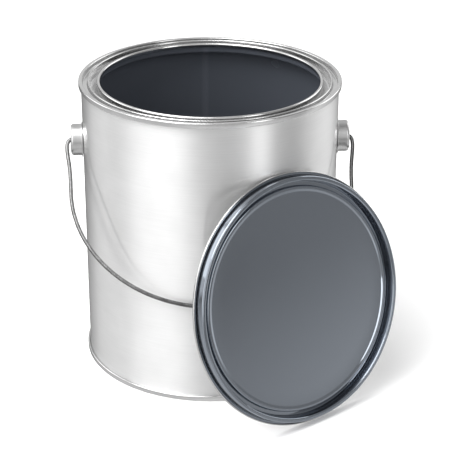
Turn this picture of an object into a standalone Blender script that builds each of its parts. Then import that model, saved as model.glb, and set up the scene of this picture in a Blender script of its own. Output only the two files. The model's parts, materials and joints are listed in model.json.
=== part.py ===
"""An open one-gallon paint can in tinplate, with its lid leaning against the front of the body.

The body is a rolled and welded sheet. A plain end closes the bottom and a ring closes the top, each
held by a double seam with sealing compound in it. The ring has a deep channel that takes the lid's
rib. Two cup-shaped ears on the X axis carry a wire bail, which rests on the front of the body.

Lengths are in metres, +Z is up and -Y is the front. The origin is on the floor, under the middle of
the whole group, so the can's own axis stands a little behind and to the left of it.
"""

import math

import bmesh
import bpy
from mathutils import Vector

MM = 0.001
SEGMENTS = 40
EAR_SEGMENTS = 24

# The can's axis, measured from the middle of the group.
CAN_X = -11.8 * MM
CAN_Y = 28.7 * MM

# Can
HEIGHT = 190.5 * MM
BODY_RADIUS = 82.5 * MM
SHEET = 0.3 * MM
GAP = 0.3 * MM
BEND_STEPS = 3

# Double seam: distances from its outer edge, and radii of the middle of each layer.
SEAM_OUTER = 84.0 * MM
BODY_HOOK = 83.45 * MM
END_HOOK = 82.9 * MM
CHUCK_WALL = 81.75 * MM
SEAM_DEPTH = 2.75 * MM
SEAM_TOP_BEND = 0.5 * MM
END_HOOK_TIP = 1.9 * MM
BODY_HOOK_TIP = 2.6 * MM
BODY_BEND = 1.75 * MM

# Ring: radii and heights of the middle of the sheet.
VALLEY_Z = 187.2 * MM
RIDGE_OUTER = 78.2 * MM
RIDGE_INNER = 77.3 * MM
RIDGE_BEND_Z = 189.6 * MM
CHANNEL_INNER = 72.25 * MM
CHANNEL_Z = 182.6 * MM
CHANNEL_BEND = 1.7 * MM
LIP_BEND_Z = 189.0 * MM
LIP_INNER = 70.55 * MM
LIP_END_Z = 187.9 * MM

# Bottom end
END_LEDGE_Z = 4.2 * MM
END_PANEL_Z = 5.0 * MM
END_PANEL_RADIUS = 69.0 * MM

# Lid: radii from its centre, and heights from the plane of its top face, which is 0.
LID_RADIUS = 79.25 * MM
LID_CORNER = 0.65 * MM
HEM_INNER = 78.65 * MM
HEM_Z = -1.9 * MM
HEM_END_Z = -1.2 * MM
RIB_OUTER = 76.9 * MM
RIB_INNER = 73.4 * MM
RIB_Z = -6.85 * MM
RIB_BEND = 1.5 * MM
PANEL_WALL = 70.05 * MM
PANEL_Z = -2.85 * MM
PANEL_BEND = 1.0 * MM
LID_BEND = 0.6 * MM

# How the lid leans: from the vertical, which way its underside faces, and where it meets the body.
LID_LEAN = math.radians(14.7)
LID_FACES = math.radians(-55.46)
LID_TOUCHES = math.radians(-56.9)

# Ears: distances from the body's surface along X.
EAR_Z = 149.0 * MM
EAR_SHEET = 0.5 * MM
EAR_FLANGE_RADIUS = 11.4 * MM
EAR_CUP_RADIUS = 10.2 * MM
EAR_DEPTH = 7.7 * MM
EAR_BEND = 1.55 * MM
EAR_HOLE_RADIUS = 1.7 * MM
EAR_SADDLE_DEPTH = 3.0 * MM

# Bail
WIRE_RADIUS = 1.25 * MM
BAIL_DROP = 116.4 * MM
BAIL_HALF_WIDTH = 90.3 * MM
BAIL_BOW_START = 34.7 * MM
BAIL_END = [(85.6, -5.5), (85.6, -2.4), (86.4, -0.6), (88.3, 0.0), (90.4, 0.2), (92.0, 1.6),
            (92.8, 5.0), (92.4, 11.0), (91.3, 19.0), (90.6, 27.0)]
BOW_STEPS = 10


def clear_scene():
    for obj in list(bpy.data.objects):
        bpy.data.objects.remove(obj, do_unlink=True)


def material(name, colour, metallic, roughness):
    made = bpy.data.materials.new(name)
    made.use_nodes = True
    shader = made.node_tree.nodes["Principled BSDF"]
    shader.inputs["Base Color"].default_value = (*colour, 1.0)
    shader.inputs["Metallic"].default_value = metallic
    shader.inputs["Roughness"].default_value = roughness
    return made


def tinplate(name, grey=0.72, roughness=0.3):
    return material(name, (grey, grey, grey * 0.99), 1.0, roughness)


def add_object(name, data, finish, location=(0, 0, 0), parent=None):
    obj = bpy.data.objects.new(name, data)
    obj.data.materials.append(finish)
    obj.location = location
    obj.parent = parent
    bpy.context.scene.collection.objects.link(obj)
    return obj


def add_empty(name, location, rotation=(0, 0, 0)):
    empty = bpy.data.objects.new(name, None)
    empty.location = location
    empty.rotation_euler = rotation
    bpy.context.scene.collection.objects.link(empty)
    return empty


def arc(centre, radius, start, end, steps=BEND_STEPS):
    """Points on a circular bend in a profile, with its angles in degrees from the +X side."""
    points = []
    for step in range(steps + 1):
        angle = math.radians(start + (end - start) * step / steps)
        points.append((centre[0] + radius * math.cos(angle), centre[1] + radius * math.sin(angle)))
    return points


def corner(centre, radius, start, end):
    """A quarter bend, where one flat is enough."""
    return arc(centre, radius, start, end, steps=1)


def sheet_outline(path, thickness):
    """The closed outline of a sheet of even thickness whose middle follows the path."""
    path = [Vector(point) for point in path]
    sides = ([], [])
    for index, point in enumerate(path):
        before = (point - path[index - 1]).normalized() if index else None
        after = (path[index + 1] - point).normalized() if index + 1 < len(path) else None
        along = ((before or after) + (after or before)).normalized()
        across = Vector((-along.y, along.x))
        stretch = 1.0 if before is None else max(along.dot(before), 0.5)
        offset = across * (thickness / 2 / stretch)
        sides[0].append(point + offset)
        sides[1].append(point - offset)
    return sides[0] + sides[1][::-1]


def turned_mesh(name, outline, segments=SEGMENTS):
    """Spin an outline of (radius, height) points round Z into a closed mesh.

    Points on the axis close the shape there, so the edge between them isn't spun.
    """
    mesh_edit = bmesh.new()
    rim = [mesh_edit.verts.new((max(radius, 0.0), 0.0, height)) for radius, height in outline]
    for first, second in zip(rim, rim[1:] + rim[:1]):
        if first.co.x > 0 or second.co.x > 0:
            mesh_edit.edges.new((first, second))
    bmesh.ops.spin(
        mesh_edit, geom=mesh_edit.verts[:] + mesh_edit.edges[:], cent=(0, 0, 0), axis=(0, 0, 1),
        angle=2 * math.pi, steps=segments, use_merge=True,
    )
    return finish_mesh(name, mesh_edit)


def finish_mesh(name, mesh_edit):
    bmesh.ops.remove_doubles(mesh_edit, verts=mesh_edit.verts[:], dist=1e-6)
    bmesh.ops.recalc_face_normals(mesh_edit, faces=mesh_edit.faces[:])
    mesh = bpy.data.meshes.new(name)
    mesh_edit.to_mesh(mesh)
    mesh_edit.free()
    mesh.shade_smooth()
    mesh.set_sharp_from_angle(angle=math.radians(35))
    return mesh


def seam_height(edge, distance):
    """The height at this distance from the top edge or the bottom edge, inwards along the can."""
    return HEIGHT - distance if edge == "top" else distance


def seam_path(edge):
    """The part of an end that makes its seam, from the tip of its hook to its chuck wall."""
    flip = 1 if edge == "top" else -1
    hook_bend = (SEAM_OUTER + END_HOOK) / 2
    edge_bend = SHEET / 2 + SEAM_TOP_BEND
    inner_bend = CHUCK_WALL + SEAM_TOP_BEND
    path = [(END_HOOK, seam_height(edge, END_HOOK_TIP))]
    path += arc((hook_bend, seam_height(edge, SEAM_DEPTH)), SEAM_OUTER - hook_bend, -180 * flip, 0)
    path += corner((SEAM_OUTER - SEAM_TOP_BEND, seam_height(edge, edge_bend)), SEAM_TOP_BEND, 0, 90 * flip)
    path += corner((inner_bend, seam_height(edge, edge_bend)), SEAM_TOP_BEND, 90 * flip, 180 * flip)
    return path


def body_hook(edge):
    """The body's flange, turned out over the end's hook, from its tip to the wall."""
    flip = 1 if edge == "top" else -1
    bend = (BODY_HOOK + BODY_RADIUS - SHEET / 2) / 2
    path = [(BODY_HOOK, seam_height(edge, BODY_HOOK_TIP))]
    return path + arc((bend, seam_height(edge, BODY_BEND)), BODY_HOOK - bend, 0, 180 * flip)


def ring_path():
    """The top ring, from its seam in over the ridge and the channel to the rolled lip."""
    valley_bend = 0.8 * MM
    ridge_bend = (RIDGE_OUTER - RIDGE_INNER) / 2
    lip_bend = (CHANNEL_INNER - LIP_INNER) / 2
    path = seam_path("top")
    path += corner((CHUCK_WALL - valley_bend, VALLEY_Z + valley_bend), valley_bend, 0, -90)
    path += corner((RIDGE_OUTER + valley_bend, VALLEY_Z + valley_bend), valley_bend, -90, -180)
    path += arc((RIDGE_INNER + ridge_bend, RIDGE_BEND_Z), ridge_bend, 0, 180)
    path += corner((RIDGE_INNER - CHANNEL_BEND, CHANNEL_Z + CHANNEL_BEND), CHANNEL_BEND, 0, -90)
    path += corner((CHANNEL_INNER + CHANNEL_BEND, CHANNEL_Z + CHANNEL_BEND), CHANNEL_BEND, -90, -180)
    path += arc((CHANNEL_INNER - lip_bend, LIP_BEND_Z), lip_bend, 0, 180)
    path += [(LIP_INNER, LIP_END_Z), (LIP_INNER + SHEET * 2, LIP_END_Z - SHEET)]
    return path


def bottom_path():
    """The bottom end, from its seam up to the ledge and in to the middle of its raised panel."""
    bend = 0.8 * MM
    path = seam_path("bottom")
    path += corner((CHUCK_WALL - bend, END_LEDGE_Z - bend), bend, 0, 90)
    path += [(END_PANEL_RADIUS + 1.5 * MM, END_LEDGE_Z), (END_PANEL_RADIUS, END_PANEL_Z)]
    path += [(0.0, END_PANEL_Z)]
    return path


def lid_path():
    """The lid, top face up, from its hem in over the rib and the bead to the middle of its panel."""
    skirt = LID_RADIUS - SHEET / 2
    hem_bend = (skirt - HEM_INNER) / 2
    top = -SHEET / 2
    corner_bend = LID_CORNER - SHEET / 2
    path = [(HEM_INNER, HEM_END_Z)]
    path += arc((HEM_INNER + hem_bend, HEM_Z), hem_bend, -180, 0, steps=2)
    path += arc((skirt - corner_bend, -LID_CORNER), corner_bend, 0, 90, steps=2)
    path += corner((RIB_OUTER + LID_BEND, top - LID_BEND), LID_BEND, 90, 180)
    path += arc((RIB_OUTER - RIB_BEND, RIB_Z + RIB_BEND), RIB_BEND, 0, -90, steps=2)
    path += arc((RIB_INNER + RIB_BEND, RIB_Z + RIB_BEND), RIB_BEND, -90, -180, steps=2)
    path += corner((RIB_INNER - LID_BEND, top - LID_BEND), LID_BEND, 0, 90)
    path += corner((PANEL_WALL + LID_BEND, top - LID_BEND), LID_BEND, 90, 180)
    path += arc((PANEL_WALL - PANEL_BEND, PANEL_Z + PANEL_BEND), PANEL_BEND, 0, -90, steps=2)
    path += [(0.0, PANEL_Z)]
    return path


def ear_mesh(name):
    """A cup with a saddle-shaped flange, turned about Z from the body's surface out."""
    flange = GAP + EAR_SHEET / 2
    wall = EAR_CUP_RADIUS - EAR_SHEET / 2
    face = EAR_DEPTH - EAR_SHEET / 2
    path = [(EAR_FLANGE_RADIUS, flange)]
    path += corner((wall + EAR_SHEET, flange + EAR_SHEET), EAR_SHEET, -90, -180)
    path += arc((wall - EAR_BEND, face - EAR_BEND), EAR_BEND, 0, 90, steps=2)
    path += [(EAR_HOLE_RADIUS, face)]
    mesh = turned_mesh(name, sheet_outline(path, EAR_SHEET), EAR_SEGMENTS)
    for vertex in mesh.vertices:
        curve_drop = BODY_RADIUS - math.sqrt(BODY_RADIUS**2 - vertex.co.y**2)
        share = max(0.0, 1.0 - max(0.0, vertex.co.z - flange - EAR_SHEET) / EAR_SADDLE_DEPTH)
        vertex.co.z -= curve_drop * share
    return mesh


def compound_outline(edge):
    """A flat ring of sealing compound between the fold of the body's hook and the end's seam."""
    inner, outer = BODY_RADIUS, BODY_HOOK + SHEET / 2
    near, far = seam_height(edge, 0.5 * MM), seam_height(edge, 0.8 * MM)
    return [(inner, near), (outer, near), (outer, far), (inner, far)]


def bail_route():
    """The wire's middle in its own plane, as (across, down from the ears' axis), from ear to ear."""
    end = [(across * MM, down * MM) for across, down in BAIL_END]
    bow = []
    for step in range(BOW_STEPS + 1):
        angle = math.pi * step / BOW_STEPS
        bow.append((
            BAIL_HALF_WIDTH * math.cos(angle),
            BAIL_BOW_START + (BAIL_DROP - BAIL_BOW_START) * math.sin(angle),
        ))
    return end + bow + [(-across, down) for across, down in reversed(end)]


def bail_curve(name):
    """A round wire along the route, in the XZ plane below the origin."""
    curve = bpy.data.curves.new(name, "CURVE")
    curve.dimensions = "3D"
    curve.bevel_depth = WIRE_RADIUS
    curve.bevel_resolution = 2
    curve.resolution_u = 2
    curve.use_fill_caps = True
    route = bail_route()
    spline = curve.splines.new("BEZIER")
    spline.bezier_points.add(len(route) - 1)
    for point, (across, down) in zip(spline.bezier_points, route):
        point.co = (across, 0.0, -down)
        point.handle_left_type = point.handle_right_type = "AUTO"
    return curve


def lid_turning_line():
    """A point on the level line that the leaning lid turns about, and how far it is in from the corner.

    The lid's outer corner is a bend whose middle runs along a circle. At rest that circle is tangent
    to a level line just above the floor, and touches a cylinder just outside the body. The lid rolls
    from that corner onto the crest of its rib, about a line at half its depth above the floor.
    """
    circle = LID_RADIUS - LID_CORNER
    reach = BODY_RADIUS + GAP + LID_CORNER
    facing = Vector((math.cos(LID_FACES), math.sin(LID_FACES)))
    level = Vector((-math.sin(LID_FACES), math.cos(LID_FACES)))
    touch = reach * Vector((math.cos(LID_TOUCHES), math.sin(LID_TOUCHES)))
    aside = math.atan(math.tan(LID_TOUCHES - LID_FACES) / math.sin(LID_LEAN))
    out = circle * (1 + math.cos(aside)) * math.sin(LID_LEAN)
    foot = touch + out * facing + circle * math.sin(aside) * level
    height = (SHEET / 2 - RIB_Z) / 2
    inset = (height - LID_CORNER) * (1 - math.sin(LID_LEAN)) / math.cos(LID_LEAN)
    point = foot + inset * facing
    return Vector((CAN_X + point.x, CAN_Y + point.y, height)), inset


def build_can():
    can = add_empty("can_axis", (CAN_X, CAN_Y, 0))
    wall = body_hook("top") + body_hook("bottom")[::-1]
    turned = {
        "can_body": (sheet_outline(wall, SHEET), tinplate("body_tinplate", 0.78, 0.28)),
        "top_ring": (sheet_outline(ring_path(), SHEET), tinplate("ring_tinplate", 0.68, 0.25)),
        "bottom_end": (sheet_outline(bottom_path(), SHEET), tinplate("end_tinplate", 0.7, 0.3)),
    }
    for edge in ("top", "bottom"):
        grey_rubber = material(edge + "_compound", (0.35, 0.34, 0.32), 0.0, 0.6)
        turned[edge + "_seam_compound"] = (compound_outline(edge), grey_rubber)
    for name, (outline, finish) in turned.items():
        add_object(name, turned_mesh(name, outline), finish, parent=can)
    for name, side in (("ear_left", -1), ("ear_right", 1)):
        ear = add_object(name, ear_mesh(name), tinplate(name + "_tinplate", 0.7, 0.3), parent=can)
        ear.location = (side * BODY_RADIUS, 0, EAR_Z)
        ear.rotation_euler = (0, side * math.pi / 2, 0)


def build_bail():
    lean = math.asin((BODY_RADIUS + WIRE_RADIUS + GAP) / BAIL_DROP)
    hinge = add_empty("bail_hinge", (CAN_X, CAN_Y, EAR_Z), (-lean, 0, 0))
    add_object("bail", bail_curve("bail"), tinplate("bail_wire", 0.62, 0.3), parent=hinge)


def build_lid():
    point, inset = lid_turning_line()
    tilt = -(math.pi / 2 + LID_LEAN)
    hinge = add_empty("lid_turning_line", point, (tilt, 0, LID_FACES + math.pi / 2))
    lining = material("lid_lining", (0.14, 0.15, 0.17), 0.0, 0.35)
    centre = (0, inset + LID_CORNER - LID_RADIUS, point.z)
    outline = sheet_outline(lid_path(), SHEET)
    add_object("lid", turned_mesh("lid", outline), lining, centre, parent=hinge)


clear_scene()
build_can()
build_bail()
build_lid()
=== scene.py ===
"""The looks of an open one-gallon paint can, with its grey-lined lid leaning on the body.

Every sheet-metal piece is a fine turned sheet with a bright tinplate side and, where it faces the
paint, a side lined with dark grey lacquer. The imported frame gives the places: the can's axis comes
from its body, its height from its ring, and the lid's and the bail's poses from their joints.
"""

import json
import math

import bmesh
import bpy
from mathutils import Matrix, Vector


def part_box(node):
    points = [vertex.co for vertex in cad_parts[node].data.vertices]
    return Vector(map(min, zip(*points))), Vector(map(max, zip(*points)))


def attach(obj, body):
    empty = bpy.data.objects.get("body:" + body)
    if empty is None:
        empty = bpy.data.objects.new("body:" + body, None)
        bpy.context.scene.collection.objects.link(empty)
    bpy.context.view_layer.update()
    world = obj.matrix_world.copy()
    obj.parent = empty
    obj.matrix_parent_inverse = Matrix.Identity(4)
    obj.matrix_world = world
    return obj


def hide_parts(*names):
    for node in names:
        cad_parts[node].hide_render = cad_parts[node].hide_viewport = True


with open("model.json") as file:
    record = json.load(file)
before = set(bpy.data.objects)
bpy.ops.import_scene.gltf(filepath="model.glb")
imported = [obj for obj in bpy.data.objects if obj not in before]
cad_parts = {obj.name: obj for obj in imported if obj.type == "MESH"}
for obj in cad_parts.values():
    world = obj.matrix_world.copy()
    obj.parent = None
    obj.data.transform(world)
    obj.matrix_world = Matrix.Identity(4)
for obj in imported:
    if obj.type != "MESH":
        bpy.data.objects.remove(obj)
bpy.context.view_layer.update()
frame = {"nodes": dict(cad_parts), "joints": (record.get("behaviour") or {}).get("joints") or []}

MM = 0.001
JOINTS = {joint["name"]: joint for joint in frame["joints"]}

# Can and its double seams. Radii and heights are of the middle of the sheet.
BODY_LOW, BODY_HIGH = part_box("can_body")
CAN = Vector(((BODY_LOW.x + BODY_HIGH.x) / 2, (BODY_LOW.y + BODY_HIGH.y) / 2, 0.0))
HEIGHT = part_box("top_ring")[1].z
BODY_RADIUS = 82.5 * MM
SHEET = 0.3 * MM
SEAM_OUTER = 84.0 * MM
BODY_HOOK = 83.45 * MM
END_HOOK = 82.9 * MM
CHUCK_WALL = 81.75 * MM
SEAM_DEPTH = 2.75 * MM
SEAM_TOP_BEND = 0.55 * MM
SEAM_TIP = 1.9 * MM
BODY_HOOK_TIP = 2.6 * MM
BODY_HOOK_BEND = 1.75 * MM

# The raised weld at the back of the body, with its finer steps, and the paler strip of lacquer inside
WELD_ANGLE = math.radians(90)
WELD_WIDTH = 0.7 * MM
WELD_HEIGHT = 0.12 * MM
WELD_REACH = math.radians(1.2)
WELD_STEP = math.radians(0.12)
STRIPE_CORE = 1.0 * MM
STRIPE_EDGE = 3.0 * MM

# Faint waves in the rolled sheet: their size, how many go round, where they start in radians and how
# many radians they turn per metre of height. They die out within the stiff edges.
WAVES = ((0.05 * MM, 5, 0.6, 9), (0.035 * MM, 8, 2.0, -14))
STIFF_EDGE = 4 * MM

# Ring and bottom end
VALLEY_BEND = 0.8 * MM
VALLEY_INNER = 79.0 * MM
VALLEY_Z = 188.0 * MM
RIDGE_OUTER = 78.2 * MM
RIDGE_INNER = 77.3 * MM
RIDGE_Z = 189.6 * MM
CHANNEL_INNER = 72.25 * MM
CHANNEL_BEND = 1.9 * MM
CHANNEL_Z = 182.6 * MM
LIP_BEND = 0.85 * MM
LIP_Z = 189.0 * MM
CURL_BEND = 0.6 * MM
CURL_Z = 187.9 * MM
LEDGE_Z = 4.2 * MM
LEDGE_INNER = 71.5 * MM
STEP_BEND = 0.6 * MM
STEP_WIDTH = 2.1 * MM
END_PANEL_Z = 5.0 * MM

# Lid. Heights are from the plane of its top face.
LID_RADIUS = 79.25 * MM
LID_CORNER = 0.65 * MM
RIB_OUTER = 76.9 * MM
RIB_INNER = 73.3 * MM
RIB_Z = -6.85 * MM
RIB_OUTER_SLOPE = 0.4 * MM
RIB_INNER_SLOPE = 0.6 * MM
CREST_BEND = 0.75 * MM
SHOULDER = 0.5 * MM
PANEL_WALL = 70.3 * MM
PANEL_BEND = 0.8 * MM
PANEL_Z = -2.5 * MM
BEAD_RISE = 0.45 * MM
BEAD_INNER = 68.6 * MM
BEAD_BEND = 1.5 * MM
BEAD_WIDTH = 1.77 * MM
HEM_INNER = 78.55 * MM
HEM_TIP = -0.9 * MM
HEM_Z = -1.2 * MM

# Ears. Radii are from the ear's axis, and heights are out from the body.
EAR_Z = JOINTS["bail_hinge"]["pos_m"][2]
EAR_SHEET = 0.5 * MM
EAR_FLANGE = 11.4 * MM
EAR_FOOT = 0.55 * MM
EAR_FOOT_BEND = 0.7 * MM
EAR_WALL = 9.95 * MM
EAR_CORNER = 1.55 * MM
EAR_FACE = 7.45 * MM
EAR_FLAT = 5.0 * MM
EAR_HOLE = 1.7 * MM
EAR_HOLE_BEND = 0.45 * MM
SADDLE_HEIGHT = 1.05 * MM
SADDLE_FADE = 3.0 * MM

# Bail. Its right end is given in millimetres, as (across, down) from the middle of the ears' axis.
WIRE_RADIUS = 1.25 * MM
WIRE_GAP = 0.3 * MM
BAIL_END = [(85.6, -5.5), (85.6, -2.4), (86.4, -0.6), (88.3, 0.0), (90.4, 0.2), (92.0, 1.6),
            (92.8, 5.0), (92.4, 11.0), (91.3, 19.0), (90.6, 27.0)]
BAIL_KNEE = 34.7 * MM
BAIL_REACH = 90.3 * MM
BAIL_DROP = 116.4 * MM
BAIL_STEPS = 24

# Fineness and small limits of the meshes
ROUND = [math.radians(step * 1.25) for step in range(288)]
EAR_ROUND = [math.radians(step * 3.75) for step in range(96)]
ON_AXIS = 1e-7
SHARP = math.radians(40)

# Metal
BUMP_DISTANCE = 0.02 * MM
COAT_IOR = 2.0
COAT_ROUGHNESS = 0.02
GRAIN_TURN = 0.25

# Camera: its place from the foot of the can's axis, and its turns in radians.
CAMERA_PLACE = Vector((-0.0372, -0.9106, 0.5070))
CAMERA_YAW = 0.01448 + math.radians(2.34)
CAMERA_PITCH = 0.43597
CAMERA_ROLL = 0.00537
CAMERA_LENS = 117.4
CAMERA_SENSOR = 36.0

# Tent of soft greys round the can, as (azimuth from the front in degrees, grey): BANDS are low down,
# RIM is near the horizon and SKY is above it. The FALL lists say how BANDS and RIM dim with height, as
# (share of the way up to the horizon, factor). STARTs and FULLs are sines of the elevation, between
# which RIM takes over from BANDS, and SKY from RIM.
TENT_BANDS = [(-180, 0.1), (-150, 0.3), (-125, 0.6), (-92, 0.72), (-45, 0.68), (-8, 0.76), (16, 0.68),
              (39, 0.93), (60, 0.68), (79, 0.52), (104, 0.92), (125, 0.7), (152, 0.35), (180, 0.1)]
TENT_RIM = [(-180, 0.03), (-140, 0.1), (-104, 0.3), (-60, 0.9), (-30, 0.9), (-5, 0.25), (27, 0.2), (39, 0.9),
            (51, 0.34), (64, 0.38), (78, 0.66), (92, 0.8), (110, 1.0), (130, 0.7), (150, 0.05), (180, 0.03)]
TENT_SKY = [(-180, 0.65), (-130, 0.55), (-80, 1.0), (-35, 1.0), (-12, 0.6), (20, 0.6), (60, 0.3), (120, 0.3),
            (180, 0.65)]
TENT_FALL = [(0.0, 1.0), (0.5, 0.95), (0.67, 0.78), (1.0, 0.78)]
RIM_FALL = [(0.0, 1.2), (0.5, 1.1), (0.9, 0.6), (1.0, 0.6)]
RIM_START, RIM_FULL = -0.3, -0.18
SKY_START, SKY_FULL = -0.06, 0.03
TENT_STRENGTH = 1.25
FLOOR_REACH = 6.0

# Lights, all turned to a point on the can's axis: azimuth from the front and elevation in degrees,
# distance, size and power
LIGHT_TARGET = Vector((0, 0, 0.09))
SOFTBOXES = {
    "overhead": (-62, 62, 1.5, (1.1, 1.1), 20),
    "left_front": (-47, 24, 1.4, (1.3, 1.2), 4.0),
    "right_strip": (42, 24, 1.4, (0.35, 1.2), 3.6),
    "right_side": (125, 24, 1.4, (0.9, 1.0), 5),
    "left_side": (-115, 24, 1.4, (0.9, 1.0), 4),
}


def arc(centre, radius, start, end, steps=8):
    """Points on a circular bend in a profile, with its angles in degrees from the +X side."""
    turns = [math.radians(start + (end - start) * step / steps) for step in range(steps + 1)]
    return [(centre[0] + radius * math.cos(turn), centre[1] + radius * math.sin(turn)) for turn in turns]


def line(start, end, steps):
    """Points spaced evenly from start to end, without the first."""
    shares = [step / steps for step in range(1, steps + 1)]
    return [tuple(a + (b - a) * share for a, b in zip(start, end)) for share in shares]


def sheet_sides(path, thickness):
    """The two sides of a sheet of even thickness whose middle follows the path."""
    path = [Vector(point) for point in path]
    left, right = [], []
    for index, point in enumerate(path):
        before = (point - path[index - 1]).normalized() if index else None
        after = (path[index + 1] - point).normalized() if index + 1 < len(path) else None
        along = ((before or after) + (after or before)).normalized()
        stretch = 1.0 if before is None else max(along.dot(before), 0.5)
        offset = Vector((-along.y, along.x)) * (thickness / 2 / stretch)
        left.append(point + offset)
        right.append(point - offset)
    return left, right


def turned_sheet(name, path, thickness, left_finish, right_finish, angles=ROUND, bulge=None):
    """A sheet spun round Z, with a finish on each side. bulge gives an extra radius at (angle, height)."""
    left, right = sheet_sides(path, thickness)
    outline = left + right[::-1]
    vertices, rows = [], []
    for radius, height in outline:
        if radius < ON_AXIS:
            rows.append([len(vertices)] * len(angles))
            vertices.append((0.0, 0.0, height))
            continue
        rows.append(list(range(len(vertices), len(vertices) + len(angles))))
        for angle in angles:
            reach = radius + (bulge(angle, height) if bulge else 0.0)
            vertices.append((reach * math.cos(angle), reach * math.sin(angle), height))
    faces, slots = [], []
    for index in range(len(outline)):
        following = (index + 1) % len(outline)
        if outline[index][0] < ON_AXIS and outline[following][0] < ON_AXIS:
            continue
        slot = 0 if index < len(left) else 1
        for step in range(len(angles)):
            turn = (step + 1) % len(angles)
            loop = [rows[index][step], rows[index][turn], rows[following][turn], rows[following][step]]
            faces.append(list(dict.fromkeys(loop)))
            slots.append(slot)
    mesh = bpy.data.meshes.new(name)
    mesh.from_pydata(vertices, [], faces)
    mesh.materials.append(left_finish)
    mesh.materials.append(right_finish)
    mesh.polygons.foreach_set("material_index", slots)
    return finished(name, mesh)


def finished(name, mesh):
    """An object from a mesh, with faces turned outwards, smooth shading and sharp cut edges."""
    edit = bmesh.new()
    edit.from_mesh(mesh)
    bmesh.ops.recalc_face_normals(edit, faces=edit.faces[:])
    edit.to_mesh(mesh)
    edit.free()
    mesh.shade_smooth()
    mesh.set_sharp_from_angle(angle=SHARP)
    obj = bpy.data.objects.new(name, mesh)
    bpy.context.scene.collection.objects.link(obj)
    return obj


# Materials


def new_material(name):
    """A material that uses nodes, with its nodes and links."""
    made = bpy.data.materials.new(name)
    made.use_nodes = True
    return made, made.node_tree.nodes, made.node_tree.links


def noise(nodes, links, coordinates, scale, detail=3.0, roughness=0.5):
    """Noise on object coordinates, stretched by scale, a number or a vector."""
    stretch = nodes.new("ShaderNodeMapping")
    stretch.inputs["Scale"].default_value = scale if isinstance(scale, tuple) else (scale,) * 3
    links.new(coordinates, stretch.inputs["Vector"])
    made = nodes.new("ShaderNodeTexNoise")
    made.inputs["Scale"].default_value = 1.0
    made.inputs["Detail"].default_value = detail
    made.inputs["Roughness"].default_value = roughness
    links.new(stretch.outputs["Vector"], made.inputs["Vector"])
    return made.outputs["Fac"]


def ramp(nodes, links, factor, low, high, start=0.3, end=0.7):
    """A colour ramp from low to high, which are greys or colours."""
    made = nodes.new("ShaderNodeValToRGB")
    for element, value, place in zip(made.color_ramp.elements, (low, high), (start, end)):
        element.position = place
        element.color = (*value, 1.0) if isinstance(value, tuple) else (value, value, value, 1.0)
    links.new(factor, made.inputs["Fac"])
    return made.outputs["Color"]


def blend_colours(nodes, links, factor, first, second, mode="MIX"):
    """The first colour mixed with the second by factor, a number or an output."""
    made = nodes.new("ShaderNodeMix")
    made.data_type = "RGBA"
    made.blend_type = mode
    if isinstance(factor, float):
        made.inputs["Factor"].default_value = factor
    else:
        links.new(factor, made.inputs["Factor"])
    links.new(first, made.inputs["A"])
    links.new(second, made.inputs["B"])
    return made.outputs["Result"]


def bump(nodes, links, height, strength, distance=BUMP_DISTANCE):
    """A bumpy normal, from an output that gives the height as a share of distance."""
    made = nodes.new("ShaderNodeBump")
    made.inputs["Strength"].default_value = strength
    made.inputs["Distance"].default_value = distance
    links.new(height, made.inputs["Height"])
    return made.outputs["Normal"]


def object_coordinates(nodes):
    return nodes.new("ShaderNodeTexCoord").outputs["Object"]


def tinplate(name, dark, light, smooth, rough, grain=(40.0, 40.0, 2000.0), anisotropic=0.0, depth=0.2,
             coat=0.0):
    """Bright tinplate: fine rolling lines over broad faint clouds of brightness."""
    made, nodes, links = new_material(name)
    shader = nodes["Principled BSDF"]
    where = object_coordinates(nodes)
    lines = noise(nodes, links, where, grain, detail=4.0, roughness=0.65)
    clouds = noise(nodes, links, where, 38.0, detail=2.0)
    shade = ramp(nodes, links, lines, dark, light)
    cloud_shade = ramp(nodes, links, clouds, 0.93, 1.0)
    colour = blend_colours(nodes, links, 1.0, shade, cloud_shade, "MULTIPLY")
    links.new(colour, shader.inputs["Base Color"])
    links.new(ramp(nodes, links, lines, smooth, rough, 0.2, 0.8), shader.inputs["Roughness"])
    links.new(bump(nodes, links, lines, depth), shader.inputs["Normal"])
    shader.inputs["Metallic"].default_value = 1.0
    shader.inputs["Anisotropic"].default_value = anisotropic
    shader.inputs["Coat Weight"].default_value = coat
    shader.inputs["Coat IOR"].default_value = COAT_IOR
    shader.inputs["Coat Roughness"].default_value = COAT_ROUGHNESS
    shader.inputs["Anisotropic Rotation"].default_value = GRAIN_TURN
    return made


def lacquer(name, dark, light, smooth=0.05, rough=0.08, metallic=0.96, stripe=False):
    """Grey lacquer that lets the metal shine through, if asked with a paler strip along the weld."""
    made, nodes, links = new_material(name)
    shader = nodes["Principled BSDF"]
    where = object_coordinates(nodes)
    clouds = noise(nodes, links, where, 22.0, detail=3.0)
    peel = noise(nodes, links, where, 700.0, detail=2.0)
    colour = ramp(nodes, links, clouds, dark, light, 0.1, 0.9)
    if stripe:
        paler = tuple(channel * 1.15 for channel in light)
        colour = weld_stripe(nodes, links, where, colour, paler)
    links.new(colour, shader.inputs["Base Color"])
    links.new(ramp(nodes, links, clouds, smooth, rough, 0.1, 0.9), shader.inputs["Roughness"])
    links.new(bump(nodes, links, peel, 0.006), shader.inputs["Normal"])
    shader.inputs["Metallic"].default_value = metallic
    return made


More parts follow.
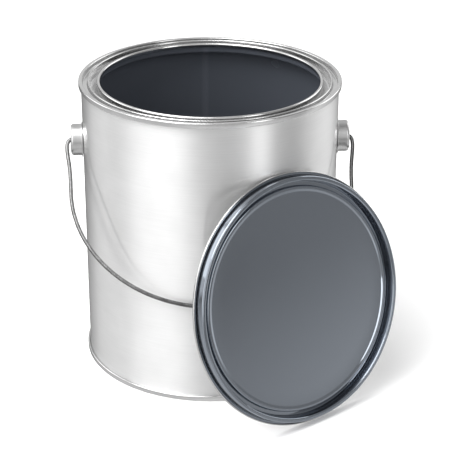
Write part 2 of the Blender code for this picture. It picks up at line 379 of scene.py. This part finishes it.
def weld_stripe(nodes, links, where, colour, paler):
    """Mixes in a paler strip, a few millimetres wide, along the weld on the +Y side."""
    split = nodes.new("ShaderNodeSeparateXYZ")
    links.new(where, split.inputs["Vector"])
    aside = nodes.new("ShaderNodeMath")
    aside.operation = "ABSOLUTE"
    links.new(split.outputs["X"], aside.inputs[0])
    near = nodes.new("ShaderNodeMapRange")
    near.inputs["From Min"].default_value = STRIPE_EDGE
    near.inputs["From Max"].default_value = STRIPE_CORE
    links.new(aside.outputs["Value"], near.inputs["Value"])
    behind = nodes.new("ShaderNodeMath")
    behind.operation = "GREATER_THAN"
    behind.inputs[1].default_value = 0.0
    links.new(split.outputs["Y"], behind.inputs[0])
    both = nodes.new("ShaderNodeMath")
    both.operation = "MULTIPLY"
    links.new(near.outputs["Result"], both.inputs[0])
    links.new(behind.outputs["Value"], both.inputs[1])
    pale = ramp(nodes, links, both.outputs["Value"], paler, paler)
    return blend_colours(nodes, links, both.outputs["Value"], colour, pale)


def compound_rubber(name):
    """Matt grey sealing compound."""
    made, nodes, links = new_material(name)
    shader = nodes["Principled BSDF"]
    grains = noise(nodes, links, object_coordinates(nodes), 600.0)
    links.new(ramp(nodes, links, grains, (0.3, 0.29, 0.27), (0.4, 0.39, 0.36)), shader.inputs["Base Color"])
    links.new(ramp(nodes, links, grains, 0.55, 0.7), shader.inputs["Roughness"])
    return made


def galvanised(name):
    """Drawn and zinc-coated wire: satin, with small mottled patches."""
    made, nodes, links = new_material(name)
    shader = nodes["Principled BSDF"]
    where = object_coordinates(nodes)
    patches = noise(nodes, links, where, 320.0, detail=4.0)
    links.new(ramp(nodes, links, patches, 0.1, 0.17), shader.inputs["Base Color"])
    links.new(ramp(nodes, links, patches, 0.18, 0.26), shader.inputs["Roughness"])
    links.new(bump(nodes, links, patches, 0.04, 0.05 * MM), shader.inputs["Normal"])
    shader.inputs["Metallic"].default_value = 1.0
    return made


# Pieces


def seam_height(edge, distance):
    """The height of a point that lies this far from the top or the bottom edge of the can."""
    return HEIGHT - distance if edge == "top" else distance


def seam_path(edge):
    """The part of an end that makes its double seam, from the tip of its hook to its chuck wall."""
    flip = 1 if edge == "top" else -1
    hook_bend = (SEAM_OUTER + END_HOOK) / 2
    bend_height = seam_height(edge, SHEET / 2 + SEAM_TOP_BEND)
    path = [(END_HOOK, seam_height(edge, SEAM_TIP))]
    path += arc((hook_bend, seam_height(edge, SEAM_DEPTH)), SEAM_OUTER - hook_bend, -180 * flip, 0)
    path += arc((SEAM_OUTER - SEAM_TOP_BEND, bend_height), SEAM_TOP_BEND, 0, 90 * flip)
    path += arc((CHUCK_WALL + SEAM_TOP_BEND, bend_height), SEAM_TOP_BEND, 90 * flip, 180 * flip)
    return path


def body_hook(edge):
    """The edge of the body that is hooked into a double seam, from its tip to the body's wall."""
    flip = 1 if edge == "top" else -1
    bend = (BODY_HOOK + BODY_RADIUS - SHEET / 2) / 2
    path = [(BODY_HOOK, seam_height(edge, BODY_HOOK_TIP))]
    return path + arc((bend, seam_height(edge, BODY_HOOK_BEND)), BODY_HOOK - bend, 0, 180 * flip, 6)


def ring_path():
    """The top ring, from its seam in over the valley, the ridge and the channel to the rolled lip."""
    ridge = (RIDGE_OUTER + RIDGE_INNER) / 2
    channel_z = CHANNEL_Z + CHANNEL_BEND
    curl = CHANNEL_INNER - 2 * LIP_BEND + CURL_BEND
    path = seam_path("top")
    path += arc((CHUCK_WALL - VALLEY_BEND, VALLEY_Z), VALLEY_BEND, 0, -90)
    path += arc((VALLEY_INNER, VALLEY_Z), VALLEY_BEND, -90, -180)
    path += arc((ridge, RIDGE_Z), RIDGE_OUTER - ridge, 0, 180)
    path += arc((RIDGE_INNER - CHANNEL_BEND, channel_z), CHANNEL_BEND, 0, -90)
    path += arc((CHANNEL_INNER + CHANNEL_BEND, channel_z), CHANNEL_BEND, -90, -180)
    path += arc((CHANNEL_INNER - LIP_BEND, LIP_Z), LIP_BEND, 0, 180)
    path += arc((curl, CURL_Z), CURL_BEND, 180, 270)
    return path


def bottom_path():
    """The bottom end, from its seam in over the ledge and a small step to the middle of its panel."""
    path = seam_path("bottom")
    path += arc((CHUCK_WALL - VALLEY_BEND, LEDGE_Z - VALLEY_BEND), VALLEY_BEND, 0, 90)
    path += line(path[-1], (LEDGE_INNER, LEDGE_Z), 2)
    path += arc((LEDGE_INNER - STEP_BEND, LEDGE_Z + STEP_BEND), STEP_BEND, -90, -120, 3)
    path += arc((LEDGE_INNER - STEP_WIDTH, END_PANEL_Z - STEP_BEND), STEP_BEND, 60, 90, 3)
    path += line(path[-1], (0.0, END_PANEL_Z), 6)
    return path


def lid_path():
    """The lid, top face up, from its hem in over the rib and the groove to the middle of its panel."""
    skirt = LID_RADIUS - SHEET / 2
    hem_bend = (skirt - HEM_INNER) / 2
    corner = LID_CORNER - SHEET / 2
    shoulder_z = -SHEET / 2 - SHOULDER
    crest_z = RIB_Z + CREST_BEND
    path = [(HEM_INNER, HEM_TIP)]
    path += arc((HEM_INNER + hem_bend, HEM_Z), hem_bend, -180, 0)
    path += arc((skirt - corner, -LID_CORNER), corner, 0, 90)
    path += arc((RIB_OUTER + SHOULDER, shoulder_z), SHOULDER, 90, 175)
    path += arc((RIB_OUTER - RIB_OUTER_SLOPE - CREST_BEND, crest_z), CREST_BEND, -5, -90, 12)
    path += arc((RIB_INNER + RIB_INNER_SLOPE + CREST_BEND, crest_z), CREST_BEND, -90, -174, 12)
    path += arc((RIB_INNER - SHOULDER, shoulder_z), SHOULDER, 6, 90)
    path += arc((PANEL_WALL + SHOULDER, shoulder_z), SHOULDER, 90, 180)
    path += arc((PANEL_WALL - PANEL_BEND, PANEL_Z - BEAD_RISE + PANEL_BEND), PANEL_BEND, 0, -90, 12)
    path += arc((BEAD_INNER, PANEL_Z - BEAD_RISE + BEAD_BEND), BEAD_BEND, -90, -110, 5)
    path += arc((BEAD_INNER - BEAD_WIDTH, PANEL_Z - BEAD_BEND), BEAD_BEND, 70, 90, 5)
    path += line(path[-1], (0.0, PANEL_Z), 8)
    return path


def body_bulge(angle, height):
    """Faint long waves in the rolled sheet, which die out at its edges, and the raised weld at the back."""
    share = (height - STIFF_EDGE) / (HEIGHT - 2 * STIFF_EDGE)
    inside = math.sin(math.pi * min(max(share, 0.0), 1.0))
    wave = sum(size * math.sin(count * angle + start + turn * height) for size, count, start, turn in WAVES)
    off_weld = (angle - WELD_ANGLE) * BODY_RADIUS / WELD_WIDTH
    return inside * (wave + WELD_HEIGHT * math.exp(-off_weld * off_weld))


def make_body(outside, lining):
    """The rolled body, hooked at both edges, with finer steps round its weld."""
    weld = [WELD_ANGLE + step * WELD_STEP for step in range(-8, 9)]
    angles = sorted([angle for angle in ROUND if abs(angle - WELD_ANGLE) > WELD_REACH] + weld)
    top, bottom = body_hook("top"), body_hook("bottom")[::-1]
    path = top + line(top[-1], bottom[0], 26)[:-1] + bottom
    body = turned_sheet("can_body_sheet", path, SHEET, outside, lining, angles, body_bulge)
    place_on_can(body, "can_body")


def place_on_can(obj, node):
    """Stands a piece that was turned round Z on the can's axis, in place of its node of the frame."""
    obj.location = CAN
    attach(obj, "can")
    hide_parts(node)


def make_ends(tin, lining):
    """The top ring and the bottom end, which are seamed onto the body."""
    ring = turned_sheet("top_ring_sheet", ring_path(), SHEET, lining, tin)
    place_on_can(ring, "top_ring")
    bottom = turned_sheet("bottom_end_sheet", bottom_path(), SHEET, tin, lining)
    place_on_can(bottom, "bottom_end")


def ear_path():
    """The ear as a turned cup, from the edge of its flange to the hole in its face."""
    path = [(EAR_FLANGE, EAR_FOOT)]
    path += arc((EAR_WALL + EAR_FOOT_BEND, EAR_FOOT + EAR_FOOT_BEND), EAR_FOOT_BEND, -90, -180)
    path += arc((EAR_WALL - EAR_CORNER, EAR_FACE - EAR_CORNER), EAR_CORNER, 0, 90)
    path += [(EAR_FLAT, EAR_FACE)]
    path += arc((EAR_HOLE + EAR_HOLE_BEND, EAR_FACE - EAR_HOLE_BEND), EAR_HOLE_BEND, 90, 170, 5)
    return path


def make_ears(finish):
    """Both cup ears. Their feet are bent to the body's curve, and the faces with the holes stay flat."""
    for name, side in (("ear_left", -1), ("ear_right", 1)):
        ear = turned_sheet(name + "_cup", ear_path(), EAR_SHEET, finish, finish, EAR_ROUND)
        for vertex in ear.data.vertices:
            curve_drop = BODY_RADIUS - math.sqrt(BODY_RADIUS**2 - vertex.co.y**2)
            faded = max(0.0, vertex.co.z - SADDLE_HEIGHT) / SADDLE_FADE
            vertex.co.z -= curve_drop * max(0.0, 1.0 - faded)
        ear.location = CAN + Vector((side * BODY_RADIUS, 0, EAR_Z))
        ear.rotation_euler = (0, side * math.pi / 2, 0)
        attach(ear, "can")
        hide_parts(name)


def bail_route():
    """The wire's middle in its own plane, as (across, down) from the middle of the ears' axis."""
    end = [(across * MM, down * MM) for across, down in BAIL_END]
    bow = []
    for step in range(BAIL_STEPS + 1):
        angle = math.pi * step / BAIL_STEPS
        down = BAIL_KNEE + (BAIL_DROP - BAIL_KNEE) * math.sin(angle)
        bow.append((BAIL_REACH * math.cos(angle), down))
    return end + bow + [(-across, down) for across, down in reversed(end)]


def make_bail(finish):
    """The wire bail, which hangs on the front of the body with its ends hooked into the ears."""
    curve = bpy.data.curves.new("bail_wire_curve", "CURVE")
    curve.dimensions = "3D"
    curve.bevel_depth = WIRE_RADIUS
    curve.bevel_resolution = 6
    curve.resolution_u = 8
    curve.use_fill_caps = True
    route = bail_route()
    spline = curve.splines.new("BEZIER")
    spline.bezier_points.add(len(route) - 1)
    for point, (across, down) in zip(spline.bezier_points, route):
        point.co = (across, 0.0, -down)
        point.handle_left_type = point.handle_right_type = "AUTO"
    curve.materials.append(finish)
    bail = bpy.data.objects.new("bail_wire", curve)
    bpy.context.scene.collection.objects.link(bail)
    bail.location = CAN + Vector((0, 0, EAR_Z))
    bail.rotation_euler = (-math.asin((BODY_RADIUS + WIRE_RADIUS + WIRE_GAP) / BAIL_DROP), 0, 0)
    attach(bail, "bail")
    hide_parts("bail")


def lid_matrix():
    """Where the lid leans, from its joint: a frame whose Z axis is the way its top face looks."""
    joint = JOINTS["lid_tip"]
    level = Vector(joint["axis"]).normalized()
    facing = Vector((level.y, -level.x, 0.0))
    lean = math.radians(joint["range_deg"][1] - 90)
    under = math.cos(lean) * facing + Vector((0, 0, math.sin(lean)))
    upward = under.cross(level)
    half_depth = (SHEET / 2 - RIB_Z) / 2
    inset = (half_depth - LID_CORNER) * (1 - math.sin(lean)) / math.cos(lean)
    centre = Vector(joint["pos_m"]) + (LID_RADIUS - LID_CORNER - inset) * upward - half_depth * under
    axes = Matrix((level, -upward, -under)).transposed()
    return Matrix.Translation(centre) @ axes.to_4x4()


def make_lid(outside, lining):
    """The lid, leaning on the body with its lined side outwards."""
    lid = turned_sheet("lid_sheet", lid_path(), SHEET, lining, outside)
    lid.data.transform(lid_matrix())
    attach(lid, "lid")
    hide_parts("lid")


def finish_hidden_parts():
    """Gives the CAD's own sealing compound, which can't be seen inside the seams, its material."""
    rubber = compound_rubber("seam_compound")
    for name in ("top_seam_compound", "bottom_seam_compound"):
        data = frame["nodes"][name].data
        data.materials.clear()
        data.materials.append(rubber)


def make_object():
    """Every piece of the can, each with its finish."""
    body_tin = tinplate("body_tin", 0.75, 0.8, 0.43, 0.5, anisotropic=0.9, coat=1.0)
    ring_tin = tinplate("ring_tin", 0.62, 0.66, 0.16, 0.2, grain=(220.0, 220.0, 220.0), depth=0.008)
    lid_tin = tinplate("lid_tin", 0.58, 0.66, 0.14, 0.22)
    ear_tin = tinplate("ear_tin", 0.5, 0.57, 0.26, 0.34, grain=(300.0, 300.0, 300.0), depth=0.02)
    # The can's lining is the same grey lacquer as the lid's, given a much darker base colour: painted shade
    # for the inside of the can, which gets its light only through the mouth.
    shaded_can_lining = lacquer("shaded_can_lining", (0.097, 0.107, 0.128), (0.104, 0.114, 0.136), smooth=0.2, rough=0.3,
                         metallic=0.2, stripe=True)
    lid_lining = lacquer("lid_lining_grey", (0.276, 0.302, 0.34), (0.284, 0.31, 0.348))
    make_body(body_tin, shaded_can_lining)
    make_ends(ring_tin, shaded_can_lining)
    make_ears(ear_tin)
    make_bail(galvanised("zinc_wire"))
    make_lid(lid_tin, lid_lining)
    finish_hidden_parts()


# Studio


def make_camera():
    """The view of the photograph: from the front, a little to the left, looking down 25 degrees."""
    data = bpy.data.cameras.new("camera")
    data.lens = CAMERA_LENS
    data.sensor_width = CAMERA_SENSOR
    data.clip_start, data.clip_end = 0.01, 20.0
    camera = bpy.data.objects.new("camera", data)
    bpy.context.scene.collection.objects.link(camera)
    turn = Matrix.Rotation(-CAMERA_YAW, 4, "Z") @ Matrix.Rotation(math.pi / 2 - CAMERA_PITCH, 4, "X")
    turn = turn @ Matrix.Rotation(CAMERA_ROLL, 4, "Z")
    camera.matrix_world = Matrix.Translation(CAN + CAMERA_PLACE) @ turn
    bpy.context.scene.camera = camera


def softbox(name, azimuth, elevation, distance, size, power):
    """A square-cornered area light that looks at the can. Its azimuth grows from the front to the right."""
    data = bpy.data.lights.new(name, "AREA")
    data.shape = "RECTANGLE"
    data.size, data.size_y = size
    data.energy = power
    light = bpy.data.objects.new(name, data)
    bpy.context.scene.collection.objects.link(light)
    around, up = math.radians(azimuth), math.radians(elevation)
    target = CAN + LIGHT_TARGET
    away = Vector((math.sin(around) * math.cos(up), -math.cos(around) * math.cos(up), math.sin(up)))
    light.location = target + distance * away
    light.rotation_euler = away.to_track_quat("Z", "Y").to_euler()


def make_floor():
    """A pale and plain floor, hidden from glossy rays so that the metal mirrors the tent instead."""
    made, nodes, links = new_material("floor_white")
    shader = nodes["Principled BSDF"]
    mottle = noise(nodes, links, object_coordinates(nodes), 3.0)
    links.new(ramp(nodes, links, mottle, 0.95, 0.97), shader.inputs["Base Color"])
    shader.inputs["Roughness"].default_value = 0.9
    mesh = bpy.data.meshes.new("floor")
    corners = [(-1, -1), (1, -1), (1, 1), (-1, 1)]
    mesh.from_pydata([(x * FLOOR_REACH, y * FLOOR_REACH, 0) for x, y in corners], [], [(0, 1, 2, 3)])
    mesh.materials.append(made)
    floor = bpy.data.objects.new("floor", mesh)
    bpy.context.scene.collection.objects.link(floor)
    floor.visible_glossy = False


def grey_ramp(nodes, links, factor, stops):
    """A smooth ramp of greys from (place, grey) stops."""
    made = nodes.new("ShaderNodeValToRGB")
    made.color_ramp.interpolation = "EASE"
    elements = made.color_ramp.elements
    while len(elements) < len(stops):
        elements.new(0.5)
    for element, (place, grey) in zip(elements, stops):
        element.position = place
        element.color = (grey, grey, grey, 1.0)
    links.new(factor, made.inputs["Fac"])
    return made.outputs["Color"]


def remap(nodes, links, value, low, high):
    """The value as a share of the way from low to high, kept between 0 and 1."""
    made = nodes.new("ShaderNodeMapRange")
    made.inputs["From Min"].default_value = low
    made.inputs["From Max"].default_value = high
    links.new(value, made.inputs["Value"])
    return made.outputs["Result"]


def make_world():
    """A soft tent: below the horizon are the bands that the upright metal mirrors."""
    world = bpy.data.worlds.new("studio")
    world.use_nodes = True
    nodes, links = world.node_tree.nodes, world.node_tree.links
    split = nodes.new("ShaderNodeSeparateXYZ")
    links.new(nodes.new("ShaderNodeTexCoord").outputs["Generated"], split.inputs["Vector"])
    front = nodes.new("ShaderNodeMath")
    front.operation = "MULTIPLY"
    front.inputs[1].default_value = -1.0
    links.new(split.outputs["Y"], front.inputs[0])
    azimuth = nodes.new("ShaderNodeMath")
    azimuth.operation = "ARCTAN2"
    links.new(split.outputs["X"], azimuth.inputs[0])
    links.new(front.outputs["Value"], azimuth.inputs[1])
    around = remap(nodes, links, azimuth.outputs["Value"], -math.pi, math.pi)
    low, rim, sky = [grey_ramp(nodes, links, around, [(0.5 + degrees / 360, grey) for degrees, grey in bands])
                     for bands in (TENT_BANDS, TENT_RIM, TENT_SKY)]
    fall = grey_ramp(nodes, links, remap(nodes, links, split.outputs["Z"], -1, 0), TENT_FALL)
    low = blend_colours(nodes, links, 1.0, low, fall, "MULTIPLY")
    rim_fall = grey_ramp(nodes, links, remap(nodes, links, split.outputs["Z"], RIM_START, 0), RIM_FALL)
    rim = blend_colours(nodes, links, 1.0, rim, rim_fall, "MULTIPLY")
    rim_share = remap(nodes, links, split.outputs["Z"], RIM_START, RIM_FULL)
    low = blend_colours(nodes, links, rim_share, low, rim)
    share = remap(nodes, links, split.outputs["Z"], SKY_START, SKY_FULL)
    links.new(blend_colours(nodes, links, share, low, sky), nodes["Background"].inputs["Color"])
    nodes["Background"].inputs["Strength"].default_value = TENT_STRENGTH
    bpy.context.scene.world = world


def make_studio():
    """The camera, the floor, the tent and the lights."""
    make_camera()
    make_floor()
    make_world()
    for name, setting in SOFTBOXES.items():
        softbox(name, *setting)
    bpy.context.scene.view_settings.view_transform = "Standard"


make_studio()
make_object()
